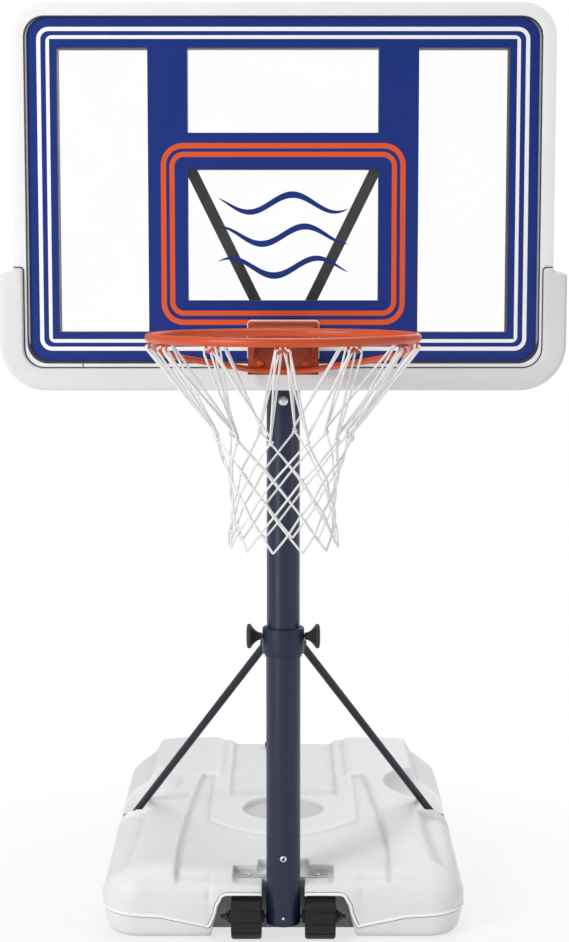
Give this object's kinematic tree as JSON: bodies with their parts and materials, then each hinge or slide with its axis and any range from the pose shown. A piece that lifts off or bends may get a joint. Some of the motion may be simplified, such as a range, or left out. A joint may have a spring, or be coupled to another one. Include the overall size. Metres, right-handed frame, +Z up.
{
  "type": "poolside basketball hoop",
  "caption": "Portable poolside basketball hoop: water-filled base on two wheels, telescoping pole with a clamp collar, clear board with frame and pad, hooked rim and corded net.",
  "frame": {"origin": "on the floor under the middle of the whole hoop's box, rim and base included", "axes": "+Z up, -Y towards the pool and the player, +X to the right of someone who faces the board"},
  "size_m": [1.117, 1.8654, 1.931],
  "materials": {
    "tank_plastic": "satin moulded white plastic with a fine grain",
    "ballast_water": "clear water",
    "black_plastic": "matte moulded black plastic",
    "wheel_plastic": "matte moulded black plastic with ribs",
    "zinc_steel": "zinc-plated steel",
    "pole_paint": "satin navy-grey powder coat",
    "collar_plastic": "satin navy-grey moulded plastic",
    "brace_paint": "satin dark grey powder coat",
    "black_steel": "satin black paint",
    "frame_plastic": "satin moulded white plastic",
    "clear_panel": "clear polycarbonate",
    "board_ink": "screen-printed blue, white and orange ink",
    "pad_plastic": "soft white moulded plastic",
    "rim_paint": "satin orange powder coat",
    "net_cord": "white braided nylon cord"
  },
  "bodies": {
    "root": {"base_tank": "tank_plastic", "water_ballast": "ballast_water", "axle": "zinc_steel", "push_nut_right": "zinc_steel", "push_nut_left": "zinc_steel", "lower_pole": "pole_paint", "pole_foot_cap": "black_plastic", "foot_strap": "zinc_steel", "strap_screw_left": "zinc_steel", "strap_screw_right": "zinc_steel", "pole_bolt": "zinc_steel", "pole_nut": "zinc_steel", "collar": "collar_plastic", "brace_right": "brace_paint", "brace_left": "brace_paint", "brace_foot_bolt_right": "zinc_steel", "brace_foot_bolt_left": "zinc_steel", "brace_bolt_right": "zinc_steel", "brace_bolt_left": "zinc_steel"},
    "wheel_right": {"wheel_right": "wheel_plastic"},
    "wheel_left": {"wheel_left": "wheel_plastic"},
    "knob_right": {"knob_right": "black_plastic", "knob_stud_right": "zinc_steel"},
    "knob_left": {"knob_left": "black_plastic", "knob_stud_left": "zinc_steel"},
    "filler_cap": {"filler_cap": "black_plastic"},
    "upper": {"upper_pole": "pole_paint", "pole_top_cap": "black_plastic", "board_frame": "frame_plastic", "board_panel": "clear_panel", "board_print": "board_ink", "bottom_pad": "pad_plastic", "board_rail_right": "black_steel", "board_rail_left": "black_steel", "board_saddle": "black_steel", "cross_plate": "black_steel", "top_bolt": "zinc_steel", "top_nut": "zinc_steel", "side_bolt": "zinc_steel", "side_nut": "zinc_steel", "strut_right": "black_steel", "strut_left": "black_steel", "rim_ring": "rim_paint", "rim_bracket": "rim_paint", "rim_rod": "rim_paint", "rim_bolt_low_left": "rim_paint", "rim_bolt_low_right": "rim_paint", "rim_bolt_high_left": "rim_paint", "rim_bolt_high_right": "rim_paint", "bracket_trim": "pad_plastic", "net": "net_cord"}
  },
  "joints": [
    {"name": "pole_height", "type": "slide", "parent": "root", "child": "upper", "axis": [0, 0, 1], "range_m": [0, 0.305]},
    {"name": "wheel_right_spin", "type": "hinge", "parent": "root", "child": "wheel_right", "pos_m": [0.078, -0.13925, 0.047], "axis": [1, 0, 0], "continuous": true},
    {"name": "wheel_left_spin", "type": "hinge", "parent": "root", "child": "wheel_left", "pos_m": [-0.078, -0.13925, 0.047], "axis": [1, 0, 0], "continuous": true},
    {"name": "knob_right_turn", "type": "hinge", "parent": "root", "child": "knob_right", "pos_m": [0.06, -0.13925, 0.652], "axis": [1, 0, 0], "range_deg": [0, 720]},
    {"name": "knob_left_turn", "type": "hinge", "parent": "root", "child": "knob_left", "pos_m": [-0.06, -0.13925, 0.652], "axis": [1, 0, 0], "range_deg": [0, 720]},
    {"name": "filler_cap_turn", "type": "hinge", "parent": "root", "child": "filler_cap", "pos_m": [-0.028, 0.86075, 0.155], "axis": [0, 0, 1], "range_deg": [0, 720]}
  ]
}
